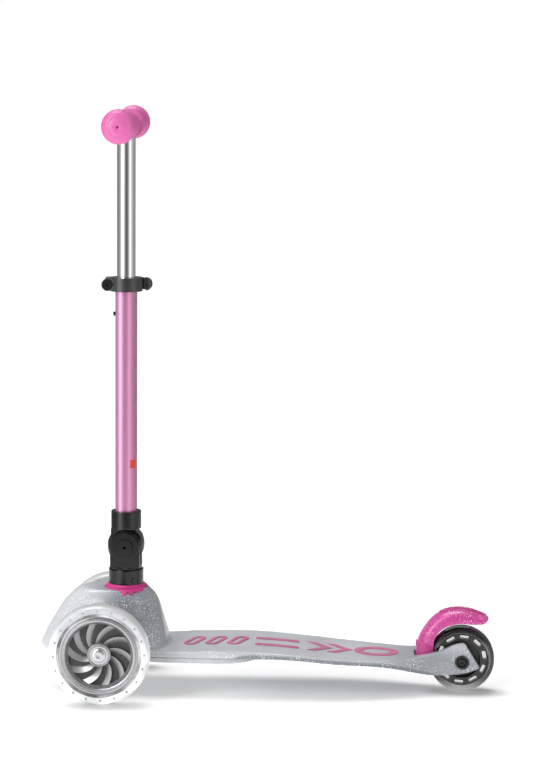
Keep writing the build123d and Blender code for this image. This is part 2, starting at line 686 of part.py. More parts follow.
def clamp_lever():
    """Cam lever that lies round the far side of the ring and ends in a finger tip."""
    low = CLAMP_LOW_Z + 1.4
    high = CLAMP_HIGH_Z - 1.4
    band = tube_z(25.2, 20.6, low, high, COLUMN_X)
    wedge = Polyline((0, 0), (-60, 44), (-60, 60), (60, 60), (60, 14), close=True)
    band &= Pos(COLUMN_X, 0, low) * extrude(make_face(wedge), amount=high - low)
    cam = rod_z(5.4, low, high, CLAMP_EAR_X, LEVER_Y)
    root = block(CLAMP_EAR_X, COLUMN_X - 12, LEVER_Y - 2.6, LEVER_Y + 5.4, low, high)
    root -= rod_z(20.6, low - 1, high + 1, COLUMN_X)
    plan = Pos(COLUMN_X, 0, 0) * (Polyline((22.6, 6.2), (25.4, 4.8), (28.6, 6.2), (31.7, 9.6), (29.4, 13.4),
                                           (25, 11.5), (21.8, 12.4), close=True))
    tip = Pos(0, 0, CLAMP_LOW_Z) * extrude(make_face(plan), amount=CLAMP_HIGH_Z - CLAMP_LOW_Z)
    tip &= rod_y(8.0, 0, 20, COLUMN_X + 22.6, CLAMP_MID_Z - 0.3)
    body = band + cam + root + tip
    body -= rod_z(2.4 + RUNNING, low - 1, high + 1, CLAMP_EAR_X, LEVER_Y)
    gap = block(CLAMP_EAR_X - 8, CLAMP_EAR_X + 8, LEVER_Y - 8, LEVER_Y + 8, CLAMP_MID_Z - 3, CLAMP_MID_Z + 3)
    return body - gap


def inner_tube():
    return tube_z(INNER_R, INNER_BORE_R, INNER_LOW_Z, BAR_Z - 8, COLUMN_X) - rod_y(INNER_R, -20, 20, COLUMN_X, BAR_Z)


def tube_foot():
    return rod_z(OUTER_BORE_R - RUNNING, INNER_LOW_Z - 4, INNER_LOW_Z, COLUMN_X) + rod_z(
        INNER_BORE_R, INNER_LOW_Z, INNER_LOW_Z + 12, COLUMN_X)


def crossbar():
    return tube_y(INNER_R, INNER_BORE_R, -BAR_HALF, BAR_HALF, COLUMN_X, BAR_Z)


def grip(side):
    """Soft grip: flange, ribbed body and a rounded mushroom end."""
    cap_y = 96.0
    outline = Polyline((INNER_R, GRIP_INNER_Y), (18.0, GRIP_INNER_Y), (18.0, GRIP_INNER_Y + 4),
                       (GRIP_BODY_R, GRIP_INNER_Y + 6), (GRIP_BODY_R, 84), (18.6, 90), (GRIP_CAP_R, cap_y))
    dome = Spline((GRIP_CAP_R, cap_y), (18.2, 102.6), (11, 106.8), (0, GRIP_OUTER_Y), tangents=[(0, 1), (-1, 0)])
    inside = Polyline((0, GRIP_OUTER_Y), (0, BAR_HALF), (INNER_R, BAR_HALF), (INNER_R, GRIP_INNER_Y))
    body = revolve(make_face(outline + dome + inside), Axis.Y)
    body -= rod_y(1.3, GRIP_OUTER_Y - 4, GRIP_OUTER_Y + 1, 0, 0)
    if side < 0:
        body = Rot(0, 0, 180) * body
    return Pos(COLUMN_X, 0, BAR_Z) * body


def save_group(name, solids):
    save(name, Compound(children=list(solids)))


def main():
    os.makedirs(OUT, exist_ok=True)
    singles = [deck, bottom_cover, boot, steering_base, lean_shaft, rocker, tie_bar, rear_tyre, rear_hub,
               rear_spacer, rear_axle_bolt, rear_axle_nut, fender, fender_pin, fender_spring, fender_bumper,
               fender_tread, brake_shoe, stem_tube, stem_collar, collar_button, hinge_fork, hinge_cap, hinge_pin, fold_button,
               fold_spring, hinge_socket, outer_tube, tube_bush, snap_button, clamp_ring, clamp_bolt, clamp_barrel,
               clamp_lever, inner_tube, tube_foot, crossbar]
    for make in singles:
        save(make.__name__, make())
    for make in (cover_screws, grip_pads, kingpins, rear_bearings, rear_washers):
        save_group(make.__name__, make())
    for make in (lean_spring, knuckle, axle_bolt, front_tyre, light_core, front_hub, magnet_spacer, grip):
        for side, shape in sides(make).items():
            save(f"{make.__name__}_{side}", shape)
    for side, solids in sides(front_bearings).items():
        save_group(f"front_bearings_{side}", solids)


if __name__ == "__main__":
    main()
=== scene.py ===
import json
import math
import random

import bmesh
import bpy
from mathutils import Matrix, Vector

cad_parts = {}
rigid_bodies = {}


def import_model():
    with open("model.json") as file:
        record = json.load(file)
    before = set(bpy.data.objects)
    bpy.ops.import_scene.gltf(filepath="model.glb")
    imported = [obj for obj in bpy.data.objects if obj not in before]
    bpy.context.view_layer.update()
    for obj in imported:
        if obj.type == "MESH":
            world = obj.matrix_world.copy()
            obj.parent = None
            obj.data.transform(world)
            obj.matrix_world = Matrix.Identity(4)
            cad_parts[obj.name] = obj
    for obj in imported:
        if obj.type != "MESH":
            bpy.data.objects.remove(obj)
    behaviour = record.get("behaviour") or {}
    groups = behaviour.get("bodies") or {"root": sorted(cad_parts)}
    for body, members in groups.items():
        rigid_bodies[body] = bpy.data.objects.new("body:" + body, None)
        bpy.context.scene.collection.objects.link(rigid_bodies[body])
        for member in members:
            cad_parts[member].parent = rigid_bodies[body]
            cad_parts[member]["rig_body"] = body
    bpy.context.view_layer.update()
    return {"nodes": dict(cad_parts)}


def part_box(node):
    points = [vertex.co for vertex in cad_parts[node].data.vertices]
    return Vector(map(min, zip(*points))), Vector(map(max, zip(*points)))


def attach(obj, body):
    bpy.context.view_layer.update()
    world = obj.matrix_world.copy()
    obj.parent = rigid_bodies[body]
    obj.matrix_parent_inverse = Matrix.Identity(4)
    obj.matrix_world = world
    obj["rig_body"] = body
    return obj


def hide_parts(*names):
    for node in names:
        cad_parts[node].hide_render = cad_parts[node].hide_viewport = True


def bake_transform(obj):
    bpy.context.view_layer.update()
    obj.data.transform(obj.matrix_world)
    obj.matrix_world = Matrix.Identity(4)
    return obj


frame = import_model()

MM = 0.001

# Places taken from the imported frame, in metres
FRONT_TYRE_LOW, FRONT_TYRE_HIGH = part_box("front_tyre_right")
FRONT_AXLE_X = (FRONT_TYRE_LOW.x + FRONT_TYRE_HIGH.x) / 2
FRONT_AXLE_Z = (FRONT_TYRE_LOW.z + FRONT_TYRE_HIGH.z) / 2
TRACK_HALF = -(FRONT_TYRE_LOW.y + FRONT_TYRE_HIGH.y) / 2
REAR_TYRE_LOW, REAR_TYRE_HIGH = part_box("rear_tyre")
REAR_AXLE = Vector(((REAR_TYRE_LOW.x + REAR_TYRE_HIGH.x) / 2, 0, (REAR_TYRE_LOW.z + REAR_TYRE_HIGH.z) / 2))
COLLAR_LOW, COLLAR_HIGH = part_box("stem_collar")
COLUMN_X = (COLLAR_LOW.x + COLLAR_HIGH.x) / 2
GRIP_LOW, GRIP_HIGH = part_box("grip_right")
BAR_Z = (GRIP_LOW.z + GRIP_HIGH.z) / 2
BOOT_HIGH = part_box("boot")[1]

# Camera, at the photograph's viewing angle
CAMERA_PLACE = (0.10377, -2.93075, 0.77389)
CAMERA_YAW = math.radians(2.0089)
CAMERA_PITCH = math.radians(7.8141)
CAMERA_ROLL = math.radians(0.4843)
CAMERA_LENS = 116.0

SHARP_ANGLE = math.radians(38)


# Mesh helpers

def finish_mesh(name, bm, material, body, nodes=()):
    """Turn a bmesh into a smooth-shaded piece that rides on a body and stands for CAD nodes."""
    bmesh.ops.remove_doubles(bm, verts=bm.verts, dist=1e-6)
    bmesh.ops.recalc_face_normals(bm, faces=bm.faces)
    mesh = bpy.data.meshes.new(name)
    bm.to_mesh(mesh)
    bm.free()
    return place_mesh(name, mesh, material, body, nodes)


def place_mesh(name, mesh, material, body, nodes=()):
    for polygon in mesh.polygons:
        polygon.use_smooth = True
    mesh.set_sharp_from_angle(angle=SHARP_ANGLE)
    mesh.materials.clear()
    mesh.materials.append(material)
    piece = bpy.data.objects.new(name, mesh)
    bpy.context.scene.collection.objects.link(piece)
    if nodes:
        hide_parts(*nodes)
    if body:
        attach(piece, body)
    return piece


def softened(name, node, voxel, rounds, material, body=None):
    """A copy of a CAD node with its edges rounded, by a fine remesh and a light smoothing."""
    source = frame["nodes"][node]
    work = bpy.data.objects.new(name + "_work", source.data.copy())
    bpy.context.scene.collection.objects.link(work)
    remesh = work.modifiers.new("Remesh", "REMESH")
    remesh.mode = "VOXEL"
    remesh.voxel_size = voxel * MM
    smooth = work.modifiers.new("Smooth", "SMOOTH")
    smooth.factor = 0.5
    smooth.iterations = rounds
    bpy.context.view_layer.update()
    evaluated = work.evaluated_get(bpy.context.evaluated_depsgraph_get())
    mesh = bpy.data.meshes.new_from_object(evaluated)
    mesh.name = name
    bpy.data.objects.remove(work)
    return place_mesh(name, mesh, material, body or source["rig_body"], [node])


def rounded(points, radius, steps=3):
    """Cut the corners of a closed outline with short curves, never past a third of an edge."""
    result = []
    count = len(points)
    for index in range(count):
        before = Vector(points[index - 1])
        corner = Vector(points[index])
        after = Vector(points[(index + 1) % count])
        back = before - corner
        ahead = after - corner
        reach_back = min(radius, back.length / 3)
        reach_ahead = min(radius, ahead.length / 3)
        start = corner + back.normalized() * reach_back
        end = corner + ahead.normalized() * reach_ahead
        for step in range(steps + 1):
            t = step / steps
            result.append(start * (1 - t) ** 2 + corner * 2 * t * (1 - t) + end * t ** 2)
    return result


def bridge(bm, rings, ends=(), around=False, closed=True):
    """Skin a row of rings of vertices and fill the rings at the given ends. An open ring has no last link."""
    pairs = list(zip(rings, rings[1:]))
    if around:
        pairs.append((rings[-1], rings[0]))
    for here, there in pairs:
        for link in range(len(here) if closed else len(here) - 1):
            after = (link + 1) % len(here)
            bm.faces.new((here[link], here[after], there[after], there[link]))
    for end in ends:
        bm.faces.new(rings[end])


def lathe(bm, profile, centre, axis="Y", steps=96, closed=True):
    """Turn radius and length pairs, in millimetres, about an axis through a centre, in metres."""
    rings = []
    for step in range(steps):
        angle = 2 * math.pi * step / steps
        ring = []
        for radius, along in profile:
            across = radius * MM * math.cos(angle)
            up = radius * MM * math.sin(angle)
            offset = Vector((across, along * MM, up)) if axis == "Y" else Vector((across, up, along * MM))
            ring.append(bm.verts.new(Vector(centre) + offset))
        rings.append(ring)
    bridge(bm, rings, around=True, closed=closed)


def mirrored(profile):
    """Both halves of an outline that is the same for plus and minus the length."""
    return profile + [(radius, -along) for radius, along in reversed(profile)]


def side_name(side):
    return "right" if side < 0 else "left"


def front_centre(side):
    """Middle of a front wheel, on its axle."""
    return Vector((FRONT_AXLE_X, side * TRACK_HALF, FRONT_AXLE_Z))


# Materials

def shader(name, roughness, **values):
    """A material with one Principled shader, whose even values sit on its own sockets."""
    material = bpy.data.materials.new(name)
    material.use_nodes = True
    bsdf = material.node_tree.nodes["Principled BSDF"]
    bsdf.inputs["Roughness"].default_value = roughness
    for key, value in values.items():
        bsdf.inputs[key.replace("_", " ")].default_value = value
    return material, bsdf


def add(material, kind, **inputs):
    node = material.node_tree.nodes.new(kind)
    for key, value in inputs.items():
        node.inputs[key].default_value = value
    return node


def join(material, output, socket):
    material.node_tree.links.new(output, socket)


def object_place(material):
    return add(material, "ShaderNodeTexCoord").outputs["Object"]


def noise(material, scale, detail=3.0, stretch=None):
    place = object_place(material)
    if stretch:
        mapping = add(material, "ShaderNodeMapping", Scale=stretch)
        join(material, place, mapping.inputs["Vector"])
        place = mapping.outputs["Vector"]
    node = add(material, "ShaderNodeTexNoise", Scale=scale, Detail=detail)
    join(material, place, node.inputs["Vector"])
    return node.outputs["Fac"]


def ramp(material, value, stops):
    node = add(material, "ShaderNodeValToRGB")
    elements = node.color_ramp.elements
    while len(elements) < len(stops):
        elements.new(0.5)
    for element, (position, colour) in zip(elements, stops):
        element.position = position
        element.color = (*colour, 1)
    join(material, value, node.inputs["Fac"])
    return node.outputs["Color"]


def remap(material, value, low, high, new_low, new_high):
    node = add(material, "ShaderNodeMapRange")
    for key, number in (("From Min", low), ("From Max", high), ("To Min", new_low), ("To Max", new_high)):
        node.inputs[key].default_value = number
    join(material, value, node.inputs["Value"])
    return node.outputs["Result"]


def mix(material, factor, first, second):
    """Mix two colours, each an output or a plain colour, by a factor."""
    node = add(material, "ShaderNodeMix")
    node.data_type = "RGBA"
    join(material, factor, node.inputs[0])
    for socket, colour in ((node.inputs[6], first), (node.inputs[7], second)):
        if isinstance(colour, tuple):
            socket.default_value = (*colour, 1)
        else:
            join(material, colour, socket)
    return node.outputs[2]


def bump(material, bsdf, height, strength, distance):
    node = add(material, "ShaderNodeBump", Strength=strength, Distance=distance)
    join(material, height, node.inputs["Height"])
    join(material, node.outputs["Normal"], bsdf.inputs["Normal"])


def shade(colour, amount):
    return tuple(max(0.0, min(1.0, part * amount)) for part in colour)


def moulded(name, colour, roughness, grain=900.0, depth=0.12, spread=0.12, **values):
    """Moulded plastic, rubber or metal: faint mottling, uneven gloss and a fine grain."""
    material, bsdf = shader(name, roughness, **values)
    patches = noise(material, 45.0)
    fine = noise(material, grain, 2.0)
    tone = ramp(material, patches, [(0.3, shade(colour, 1 - spread)), (0.7, shade(colour, 1 + spread))])
    join(material, tone, bsdf.inputs["Base Color"])
    gloss = remap(material, patches, 0.3, 0.7, roughness - 0.05, roughness + 0.06)
    join(material, gloss, bsdf.inputs["Roughness"])
    bump(material, bsdf, fine, depth, 0.0002)
    return material


def flakes(material, scale, size, share, seed):
    """A mask of small glitter flakes, each in its own cell."""
    place = object_place(material)
    mapping = add(material, "ShaderNodeMapping", Location=(seed, seed * 0.7, seed * 1.3))
    join(material, place, mapping.inputs["Vector"])
    cells = add(material, "ShaderNodeTexVoronoi", Scale=scale)
    join(material, mapping.outputs["Vector"], cells.inputs["Vector"])
    near = remap(material, cells.outputs["Distance"], size * 0.6, size, 1.0, 0.0)
    split = add(material, "ShaderNodeSeparateColor")
    join(material, cells.outputs["Color"], split.inputs["Color"])
    chosen = remap(material, split.outputs["Red"], share, share + 0.02, 1.0, 0.0)
    return times(material, near, chosen)


def glittering(name, base, flake_colour, roughness, share, painted_shade_masks=None, **values):
    """Clear plastic with silver flakes: a clouded body, fine and coarse flakes in drifts, and flow marks,
    with painted shade mixed into the body where masks are given.
    """
    material, bsdf = shader(name, roughness, **values)
    clouds = noise(material, 22.0, 4.0)
    drifts = remap(material, noise(material, 34.0, 2.0), 0.42, 0.62, 0.15, 1.0)
    tone = ramp(material, clouds, [(0.3, shade(base, 0.92)), (0.7, shade(base, 1.07))])
    if painted_shade_masks:
        # Painted shade: each mask darkens the body colour towards a dim blue grey.
        for mask in painted_shade_masks(material):
            tone = mix(material, mask, tone, (0.14, 0.155, 0.19))
    fine = times(material, flakes(material, 620.0, 0.42, share, 1.0), drifts)
    coarse = times(material, flakes(material, 380.0, 0.32, share * 0.6, 4.0), drifts)
    tone = mix(material, fine, tone, flake_colour)
    tone = mix(material, coarse, tone, shade(flake_colour, 1.1))
    join(material, tone, bsdf.inputs["Base Color"])
    join(material, remap(material, fine, 0.0, 1.0, roughness, 0.15), bsdf.inputs["Roughness"])
    bump(material, bsdf, noise(material, 160.0), 0.10, 0.0003)
    return material


def times(material, first, second):
    node = add(material, "ShaderNodeMath")
    node.operation = "MULTIPLY"
    join(material, first, node.inputs[0])
    join(material, second, node.inputs[1])
    return node.outputs["Value"]


# The deck's lower edge, as x and height in millimetres, behind the bottom cover, along which the painted
# shadow band runs
UNDER_LINE = [(-80, 30), (-45, 40), (-25, 47.5), (10, 47.5), (40, 46), (85, 42), (143, 36.4), (176, 28.6),
              (200, 21), (230, 10)]
UNDER_TOP = 60


def blob(material, centre, reach, strength):
    """Mask that fades out from a point, by distances given along X, Y and Z."""
    mapping = add(material, "ShaderNodeMapping", Scale=[1 / (part * MM) for part in reach],
                  Location=[-place / part for place, part in zip(centre, reach)])
    join(material, object_place(material), mapping.inputs["Vector"])
    length = add(material, "ShaderNodeVectorMath")
    length.operation = "LENGTH"
    join(material, mapping.outputs["Vector"], length.inputs[0])
    return remap(material, length.outputs["Value"], 0.35, 1.0, strength, 0.0)


def shell_painted_shade(material):
    """Painted shade on the shell: darker where the steering and the fork's root sit behind the clear plastic,
    as the shaded inside shows through, and a painted shadow band along the lower edge.
    """
    steering = blob(material, (-165, 0, 94), (62, 400, 56), 0.76)
    fork_root = blob(material, (206, 0, 34), (100, 400, 34), 0.62)
    return [steering, fork_root, under_edge_painted_shadow(material)]


def under_edge_painted_shadow(material):
    """Painted shadow band along the deck's lower edge, where the plate turns under."""
    split = add(material, "ShaderNodeSeparateXYZ")
    join(material, object_place(material), split.inputs["Vector"])
    start, end = UNDER_LINE[0][0], UNDER_LINE[-1][0]
    curve = add(material, "ShaderNodeFloatCurve")
    points = curve.mapping.curves[0].points
    while len(points) < len(UNDER_LINE):
        points.new(0.5, 0.5)
    for point, (x, height) in zip(points, UNDER_LINE):
        point.location = ((x - start) / (end - start), height / UNDER_TOP)
    curve.mapping.update()
    join(material, remap(material, split.outputs["X"], start * MM, end * MM, 0.0, 1.0), curve.inputs["Value"])
    edge = remap(material, curve.outputs["Value"], 0.0, 1.0, 0.0, UNDER_TOP * MM)
    above = add(material, "ShaderNodeMath")
    above.operation = "SUBTRACT"
    join(material, split.outputs["Z"], above.inputs[0])
    join(material, edge, above.inputs[1])
    return remap(material, above.outputs["Value"], 0.0034, 0.0062, 0.85, 0.0)


def brushed(name, colour, roughness, stretch, metallic=1.0, turn=0.0, **values):
    """Metal with fine lines drawn out along one axis, its sheen turned round a tube by some degrees."""
    material, bsdf = shader(name, roughness, Metallic=metallic, **values)
    lines = noise(material, 30.0, 6.0, stretch)
    tone = ramp(material, lines, [(0.25, shade(colour, 0.94)), (0.75, shade(colour, 1.05))])
    join(material, tone, bsdf.inputs["Base Color"])
    gloss = remap(material, lines, 0.3, 0.7, roughness * 0.8, roughness * 1.25)
    join(material, gloss, bsdf.inputs["Roughness"])
    bump(material, bsdf, lines, 0.03, 0.0001)
    if turn:
        rotate = add(material, "ShaderNodeVectorRotate", Angle=math.radians(turn))
        rotate.rotation_type = "Z_AXIS"
        join(material, add(material, "ShaderNodeNewGeometry").outputs["Normal"], rotate.inputs["Vector"])
        for socket in ("Normal", "Coat Normal"):
            join(material, rotate.outputs["Vector"], bsdf.inputs[socket])
    return material


def height_above_floor(material):
    split = add(material, "ShaderNodeSeparateXYZ")
    join(material, object_place(material), split.inputs["Vector"])
    return split.outputs["Z"]


def painted_glow_tyre():
    """Clear tyre with painted light: white with soft grey patches, a painted glow that is strongest near the
    floor and fades with height, and painted shade that darkens it towards the top.
    """
    material, bsdf = shader("clear_tyre", 0.16, Coat_Weight=0.4, Coat_Roughness=0.06,
                            Subsurface_Weight=0.2, Subsurface_Radius=(0.008, 0.008, 0.008))
    patches = noise(material, 46.0, 0.0)
    tone = ramp(material, patches, [(0.25, (0.62, 0.63, 0.64)), (0.5, (0.86, 0.87, 0.88)),
                                    (0.68, (0.97, 0.97, 0.97))])
    height = height_above_floor(material)
    # Painted shade: darker towards the top
    tone = mix(material, remap(material, height, 0.03, 0.12, 0.0, 0.85), tone, (0.50, 0.51, 0.52))
    join(material, tone, bsdf.inputs["Base Color"])
    join(material, ramp(material, patches, [(0.38, (0.45, 0.45, 0.45)), (0.58, (1.0, 1.0, 1.0))]),
         bsdf.inputs["Emission Color"])
    # Painted glow: strongest near the floor, fading with height
    join(material, remap(material, height, 0.01, 0.10, 0.55, 0.02), bsdf.inputs["Emission Strength"])
    bump(material, bsdf, noise(material, 120.0), 0.05, 0.0003)
    return material


def painted_glow_ring():
    """Pale ring inside the rear tyre with painted light: white with a painted glow near the floor, and
    painted shade that turns it dark above.
    """
    material, bsdf = shader("painted_glow_ring", 0.25, Emission_Color=(1, 1, 1, 1))
    height = height_above_floor(material)
    # Painted light and shade: white near the floor, nearly black above
    rise = remap(material, height, 0.004, 0.03, 0.0, 1.0)
    tone = ramp(material, rise, [(0.0, (0.9, 0.9, 0.9)), (1.0, (0.03, 0.03, 0.03))])
    join(material, tone, bsdf.inputs["Base Color"])
    # Painted glow, only near the floor
    join(material, remap(material, height, 0.004, 0.016, 0.9, 0.0), bsdf.inputs["Emission Strength"])
    bump(material, bsdf, noise(material, 300.0), 0.05, 0.0002)
    return material


def smoky_tyre():
    """Smoky see-through tyre, clouded a little from place to place."""
    material, bsdf = shader("smoky_tyre", 0.06, Transmission_Weight=0.92, IOR=1.45, Coat_Weight=0.5)
    clouds = noise(material, 30.0, 2.0)
    tone = ramp(material, clouds, [(0.3, (0.12, 0.11, 0.115)), (0.7, (0.20, 0.185, 0.19))])
    join(material, tone, bsdf.inputs["Base Color"])
    bump(material, bsdf, noise(material, 150.0), 0.03, 0.0002)
    return material


# Clear shell, with painted shade over the steering, the fork's root and along its lower edge
SHELL = glittering("clear_shell", (0.55, 0.57, 0.595), (0.97, 0.98, 1.0), 0.34, 0.45, shell_painted_shade,
                   Coat_Weight=0.35, Coat_Roughness=0.12, Subsurface_Weight=0.25,
                   Subsurface_Radius=(0.006, 0.006, 0.007))
COVER = moulded("cover_plastic", (0.60, 0.61, 0.62), 0.32, Coat_Weight=0.2, Subsurface_Weight=0.2,
                Subsurface_Radius=(0.004, 0.004, 0.004))
PINK_SHELL = glittering("pink_shell", (0.58, 0.05, 0.29), (1.0, 0.62, 0.82), 0.34, 0.45, Coat_Weight=0.3,
                        Coat_Roughness=0.10, Subsurface_Weight=0.35, Subsurface_Radius=(0.008, 0.003, 0.005))
PINK_PADS = moulded("pink_pads", (0.50, 0.15, 0.27), 0.55, grain=1400.0, depth=0.3)
PINK_RUBBER = moulded("pink_rubber", (0.68, 0.04, 0.26), 0.5, grain=1200.0, depth=0.2)
GRIP_RUBBER = moulded("grip_rubber", (0.71, 0.14, 0.41), 0.42, grain=1500.0, depth=0.25, spread=0.05,
                      Subsurface_Weight=0.2, Subsurface_Radius=(0.006, 0.002, 0.004), Coat_Weight=0.15)
BLACK_PLASTIC = moulded("black_plastic", (0.005, 0.005, 0.0055), 0.20, grain=1300.0, depth=0.04)
CLAMP_BLACK = moulded("clamp_black", (0.03, 0.03, 0.032), 0.32, grain=1200.0, depth=0.06, Coat_Weight=0.4)
BLACK_RUBBER = moulded("black_rubber", (0.03, 0.03, 0.033), 0.7, grain=900.0, depth=0.4)
PINK_METAL = brushed("pink_metal", (0.74, 0.31, 0.52), 0.29, (1.0, 1.0, 0.05), metallic=0.6, turn=9.0,
                     Coat_Weight=0.7, Coat_Roughness=0.12)
CHROME = brushed("chrome", (0.86, 0.86, 0.87), 0.10, (1.0, 1.0, 0.05))
STEEL = brushed("steel", (0.62, 0.62, 0.63), 0.26, (1.0, 0.2, 1.0))
HUB_SILVER = brushed("hub_silver", (0.46, 0.46, 0.47), 0.30, (1.0, 0.1, 1.0))
HUB_GREY = moulded("hub_grey", (0.38, 0.375, 0.385), 0.30, Metallic=0.5, grain=1100.0, depth=0.06)
HUB_SHADE = moulded("hub_shade", (0.05, 0.05, 0.052), 0.5)
BLACK_STEEL = moulded("black_steel", (0.03, 0.03, 0.032), 0.25, Metallic=0.7)
HUB_BLACK = moulded("hub_black", (0.018, 0.018, 0.019), 0.35, grain=1300.0, Coat_Weight=0.2)
# Clear tyre with its painted glow and painted shade
CLEAR_TYRE_PAINTED_GLOW = painted_glow_tyre()
SMOKY_TYRE = smoky_tyre()
LIGHT_CHIPS = moulded("light_chips", (0.42, 0.43, 0.45), 0.3)
# Painted shade for the gap between the front rim and the tyre
GROOVE_PAINTED_SHADE = moulded("groove_painted_shade", (0.42, 0.42, 0.43), 0.4, spread=0.75)
# Painted glow: the frosted core shines evenly, standing for light seen through the rear wheel's windows
FROSTED_CORE_PAINTED_GLOW = moulded("frosted_core_painted_glow", (0.70, 0.70, 0.71), 0.3, Emission_Color=(1, 1, 1, 1),
                       Emission_Strength=0.6)
PAINTED_GLOW_RING = painted_glow_ring()
RED_LABEL = moulded("red_label", (0.80, 0.055, 0.02), 0.45, depth=0.05)

CAD_FINISH = {
    STEEL: ["cover_screws", "kingpins", "lean_shaft", "rear_axle_nut", "rear_washers", "fender_pin",
            "rear_bearings", "rear_spacer", "front_bearings_left", "front_bearings_right", "brake_shoe",
            "hinge_pin", "clamp_barrel", "stem_tube", "magnet_spacer_left", "magnet_spacer_right"],
    BLACK_PLASTIC: ["tie_bar", "rocker", "collar_button", "tube_bush", "tube_foot", "snap_button",
                    "steering_base"],
    PINK_SHELL: ["fender_bumper"],
    PINK_METAL: ["outer_tube"],
    CHROME: ["inner_tube", "crossbar"],
    # The light cores carry the same painted glow and painted shade as the clear tyre
    CLEAR_TYRE_PAINTED_GLOW: ["light_core_left", "light_core_right"],
}


def finish_cad_nodes():
    for material, names in CAD_FINISH.items():
        for name in names:
            mesh = frame["nodes"][name].data
            mesh.materials.clear()
            mesh.materials.append(material)


# Front wheels

TYRE_SEAT_R = 48.4
CHIP_R = 54.0
CHIP_FACE_Y = 11.7
CHIPS = 20
CHIP_START = math.radians(2)
AXLE_R = 4.0
BLADES = 10
BLADE_CHORD = math.radians(42)
BLADE_SWEEP = math.radians(38)
BLADE_THICKNESS = 1.1
BLADE_ROOT_R = 11.5
BLADE_SPAN = 26.6


def front_tyre(side):
    name = side_name(side)
    profile = mirrored([(TYRE_SEAT_R, 11.4), (55.8, 12.0), (56.3, 11.6), (56.8, 11.8), (58.6, 9.4),
                        (59.7, 5.6), (60.0, 1.8)])
    bm = bmesh.new()
    lathe(bm, rounded(profile, 1.2), front_centre(side), steps=144)
    return finish_mesh(f"tyre_front_{name}", bm, CLEAR_TYRE_PAINTED_GLOW, f"wheel_{name}",
                       [f"front_tyre_{name}"])


def light_chips(side):
    """Small lamps round the light ring, seen through both faces of the tyre."""
    name = side_name(side)
    bm = bmesh.new()
    for index in range(CHIPS):
        angle = CHIP_START + 2 * math.pi * index / CHIPS
        for face in (-1, 1):
            offset = Vector((CHIP_R * math.cos(angle), face * CHIP_FACE_Y, CHIP_R * math.sin(angle)))
            dome = [(1.6, -0.5 * face), (1.6, 0.15 * face), (1.1, 0.35 * face), (0.0, 0.45 * face)]
            lathe(bm, dome, front_centre(side) + offset * MM, steps=12, closed=False)
    return finish_mesh(f"light_chips_{name}", bm, LIGHT_CHIPS, f"wheel_{name}")


def groove_ring(side):
    """Grey ring between the silver rim and the clear tyre: painted shade in the gap between them."""
    name = side_name(side)
    profile = mirrored([(46.8, 10.2), (47.2, 11.2), (49.4, 11.7), (50.2, 12.0), (50.4, 11.2), (48.6, 9.6)])
    bm = bmesh.new()
    lathe(bm, profile, front_centre(side), steps=144)
    return finish_mesh(f"rim_groove_{name}", bm, GROOVE_PAINTED_SHADE, f"wheel_{name}")


def front_rim(side):
    name = side_name(side)
    profile = mirrored([(47.3, 10.0), (46.8, 11.2), (44.5, 11.6), (44.2, 10.8), (43.6, 10.8), (43.3, 11.5),
                        (41.0, 11.2), (39.6, 9.8)])
    bm = bmesh.new()
    lathe(bm, rounded(profile, 0.5, 2), front_centre(side), steps=144)
    return finish_mesh(f"rim_ring_{name}", bm, HUB_SILVER, f"wheel_{name}")


def blade(bm, centre, side, start):
    """One swept and twisted turbine blade between the boss and the bowl."""
    spans = 14
    chords = 7
    rows = []
    for span in range(spans + 1):
        t = span / spans
        radius = (BLADE_ROOT_R + BLADE_SPAN * t) * MM
        row = []
        for chord in range(chords + 1):
            c = chord / chords
            reach = BLADE_CHORD * (0.95 - 0.25 * t)
            angle = start + side * (BLADE_SWEEP * t ** 1.15 + reach * c)
            bow = math.sin(c * math.pi) * 1.2
            depth = (-5.4 + 11.0 * c - bow + 1.0 * t) * MM
            row.append(Vector((radius * math.cos(angle), side * -depth, radius * math.sin(angle))))
        rows.append(row)
    sheets = []
    for half in (-0.5, 0.5):
        lifted = centre + Vector((0, half * BLADE_THICKNESS * MM, 0))
        sheets.append([[bm.verts.new(lifted + place) for place in row] for row in rows])
    close_sheets(bm, *sheets)


def close_sheets(bm, lower, upper):
    """Join two equal grids of vertices into one closed slab."""
    last_row = len(lower) - 1
    last_column = len(lower[0]) - 1
    for row in range(last_row):
        ahead = row + 1
        for column in range(last_column):
            beside = column + 1
            for grid in (lower, upper):
                bm.faces.new((grid[row][column], grid[ahead][column], grid[ahead][beside], grid[row][beside]))
    for row in range(last_row):
        ahead = row + 1
        for column in (0, last_column):
            bm.faces.new((lower[row][column], lower[ahead][column], upper[ahead][column], upper[row][column]))
    for column in range(last_column):
        beside = column + 1
        for row in (0, last_row):
            bm.faces.new((lower[row][column], lower[row][beside], upper[row][beside], upper[row][column]))


def front_hub(side):
    """Grey bowl, turbine blades and the boss that holds the bearings."""
    name = side_name(side)
    centre = front_centre(side)
    bm = bmesh.new()
    bowl = mirrored([(41.4, 10.6), (40.6, 10.4), (38.0, 5.6), (37.2, 4.6), (37.0, 1.0)])
    lathe(bm, bowl, centre, steps=120)
    boss = mirrored([(11.2, 8.0), (12.0, 8.6), (13.2, 8.5), (14.0, 7.4), (14.2, 4.0)])
    lathe(bm, rounded(boss, 0.6, 2), centre, steps=72)
    for index in range(BLADES):
        blade(bm, centre, side, 2 * math.pi * index / BLADES)
    finish_mesh(f"turbine_hub_{name}", bm, HUB_GREY, f"wheel_{name}", [f"front_hub_{name}"])
    backing = bmesh.new()
    lathe(backing, mirrored([(37.2, 1.0), (10.0, 1.0)]), centre, steps=96)
    return finish_mesh(f"hub_backing_{name}", backing, HUB_SHADE, f"wheel_{name}")


def hexagon_reach(angle, radius):
    """Distance from the centre to the edge of a hexagon."""
    sixth = math.pi / 3
    return radius * math.cos(sixth / 2) / math.cos((angle % sixth) - sixth / 2)


